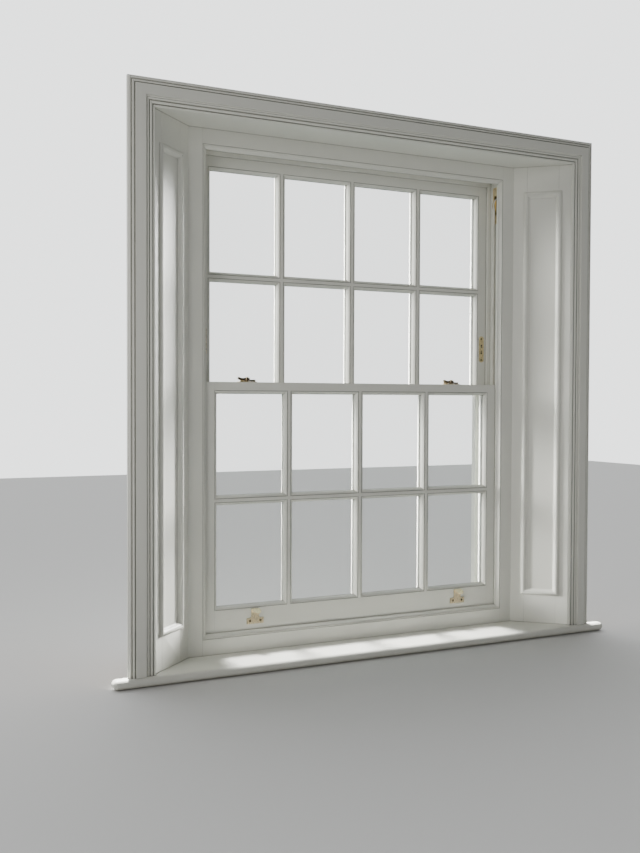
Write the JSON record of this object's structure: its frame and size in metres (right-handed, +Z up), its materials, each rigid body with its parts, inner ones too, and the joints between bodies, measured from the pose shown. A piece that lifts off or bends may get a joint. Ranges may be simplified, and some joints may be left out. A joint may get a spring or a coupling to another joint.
{
  "type": "sash window",
  "caption": "Double-hung timber sash window in a box frame, with cords, pulleys and weights, splayed panelled linings, moulded architraves and a window board.",
  "frame": {"origin": "middle of the window's width, on the room face of the box frame, level with the underside of the sill and window board", "axes": "+X to the right seen from the room, +Y outdoors, +Z up"},
  "size_m": [1.5854, 0.327, 1.5445],
  "materials": {
    "white_paint": "off-white satin paint",
    "raw_timber": "unpainted softwood",
    "glass": "clear, slightly wavy",
    "putty": "painted linseed putty",
    "brass": "polished, lightly worn",
    "dark_brass": "dark bronzed",
    "cast_iron": "rough cast",
    "cord": "waxed cotton"
  },
  "bodies": {
    "frame": {"sill": "white_paint", "head": "white_paint", "pulley_stiles": "white_paint", "pocket_pieces": "white_paint", "inner_linings": "white_paint", "inner_lining_head": "white_paint", "outer_linings": "white_paint", "outer_lining_head": "white_paint", "parting_beads": "white_paint", "parting_bead_head": "white_paint", "staff_beads": "white_paint", "staff_bead_head": "white_paint", "staff_bead_bottom": "white_paint", "splay_stiles_right": "white_paint", "splay_rails_right": "white_paint", "splay_panel_right": "white_paint", "splay_moulding_right": "white_paint", "splay_stiles_left": "white_paint", "splay_rails_left": "white_paint", "splay_panel_left": "white_paint", "splay_moulding_left": "white_paint", "soffit_lining": "white_paint", "window_board": "white_paint", "architrave_right": "white_paint", "architrave_left": "white_paint", "architrave_head": "white_paint", "back_linings": "raw_timber", "parting_slips": "raw_timber", "pulley_cases": "brass", "lower_sash_cords": "cord", "upper_sash_cords": "cord"},
    "lower_sash": {"lower_sash_stiles": "white_paint", "lower_bottom_rail": "white_paint", "lower_meeting_rail": "white_paint", "lower_upright_bars": "white_paint", "lower_cross_bars": "white_paint", "lower_panes": "glass", "lower_putty": "putty", "lifts": "brass", "fastener_bases": "brass"},
    "upper_sash": {"upper_sash_stiles": "white_paint", "upper_top_rail": "white_paint", "upper_meeting_rail": "white_paint", "upper_upright_bars": "white_paint", "upper_cross_bars": "white_paint", "upper_panes": "glass", "upper_putty": "putty", "keepers": "brass", "sash_stops": "brass"},
    "fastener_left": {"fastener_lever_left": "dark_brass"},
    "fastener_right": {"fastener_lever_right": "dark_brass"},
    "lower_weight_left": {"lower_weight_left": "cast_iron"},
    "lower_pulley_left": {"lower_pulley_left": "brass"},
    "lower_weight_right": {"lower_weight_right": "cast_iron"},
    "lower_pulley_right": {"lower_pulley_right": "brass"},
    "upper_weight_left": {"upper_weight_left": "cast_iron"},
    "upper_pulley_left": {"upper_pulley_left": "brass"},
    "upper_weight_right": {"upper_weight_right": "cast_iron"},
    "upper_pulley_right": {"upper_pulley_right": "brass"}
  },
  "joints": [
    {"name": "lower_sash_slide", "type": "slide", "parent": "frame", "child": "lower_sash", "axis": [0, 0, 1], "range_m": [0, 0.56], "deforming": ["lower_sash_cords"]},
    {"name": "upper_sash_slide", "type": "slide", "parent": "frame", "child": "upper_sash", "axis": [0, 0, -1], "range_m": [0, 0.56], "deforming": ["upper_sash_cords"]},
    {"name": "lower_weight_left_slide", "type": "slide", "parent": "frame", "child": "lower_weight_left", "axis": [0, 0, -1], "range_m": [0, 0.56]},
    {"name": "lower_pulley_left_turn", "type": "hinge", "parent": "frame", "child": "lower_pulley_left", "pos_m": [-0.5205, 0.04, 1.3556], "axis": [0, 1, 0], "continuous": true},
    {"name": "lower_weight_right_slide", "type": "slide", "parent": "frame", "child": "lower_weight_right", "axis": [0, 0, -1], "range_m": [0, 0.56]},
    {"name": "lower_pulley_right_turn", "type": "hinge", "parent": "frame", "child": "lower_pulley_right", "pos_m": [0.5205, 0.04, 1.3556], "axis": [0, 1, 0], "continuous": true},
    {"name": "upper_weight_left_slide", "type": "slide", "parent": "frame", "child": "upper_weight_left", "axis": [0, 0, 1], "range_m": [0, 0.56]},
    {"name": "upper_pulley_left_turn", "type": "hinge", "parent": "frame", "child": "upper_pulley_left", "pos_m": [-0.5205, 0.096, 1.3556], "axis": [0, 1, 0], "continuous": true},
    {"name": "upper_weight_right_slide", "type": "slide", "parent": "frame", "child": "upper_weight_right", "axis": [0, 0, 1], "range_m": [0, 0.56]},
    {"name": "upper_pulley_right_turn", "type": "hinge", "parent": "frame", "child": "upper_pulley_right", "pos_m": [0.5205, 0.096, 1.3556], "axis": [0, 1, 0], "continuous": true},
    {"name": "fastener_left_turn", "type": "hinge", "parent": "lower_sash", "child": "fastener_left", "pos_m": [-0.347, 0.056, 0.7856], "axis": [0, 0, 1], "range_deg": [0, 90]},
    {"name": "fastener_right_turn", "type": "hinge", "parent": "lower_sash", "child": "fastener_right", "pos_m": [0.347, 0.056, 0.7856], "axis": [0, 0, 1], "range_deg": [0, 90]}
  ],
  "couplings": [
    {"joint": "lower_weight_left_slide", "follows": "lower_sash_slide", "ratio": 1},
    {"joint": "lower_pulley_left_turn", "follows": "lower_sash_slide", "rad_per_m": -38.462},
    {"joint": "lower_weight_right_slide", "follows": "lower_sash_slide", "ratio": 1},
    {"joint": "lower_pulley_right_turn", "follows": "lower_sash_slide", "rad_per_m": 38.462},
    {"joint": "upper_weight_left_slide", "follows": "upper_sash_slide", "ratio": 1},
    {"joint": "upper_pulley_left_turn", "follows": "upper_sash_slide", "rad_per_m": 38.462},
    {"joint": "upper_weight_right_slide", "follows": "upper_sash_slide", "ratio": 1},
    {"joint": "upper_pulley_right_turn", "follows": "upper_sash_slide", "rad_per_m": -38.462}
  ]
}
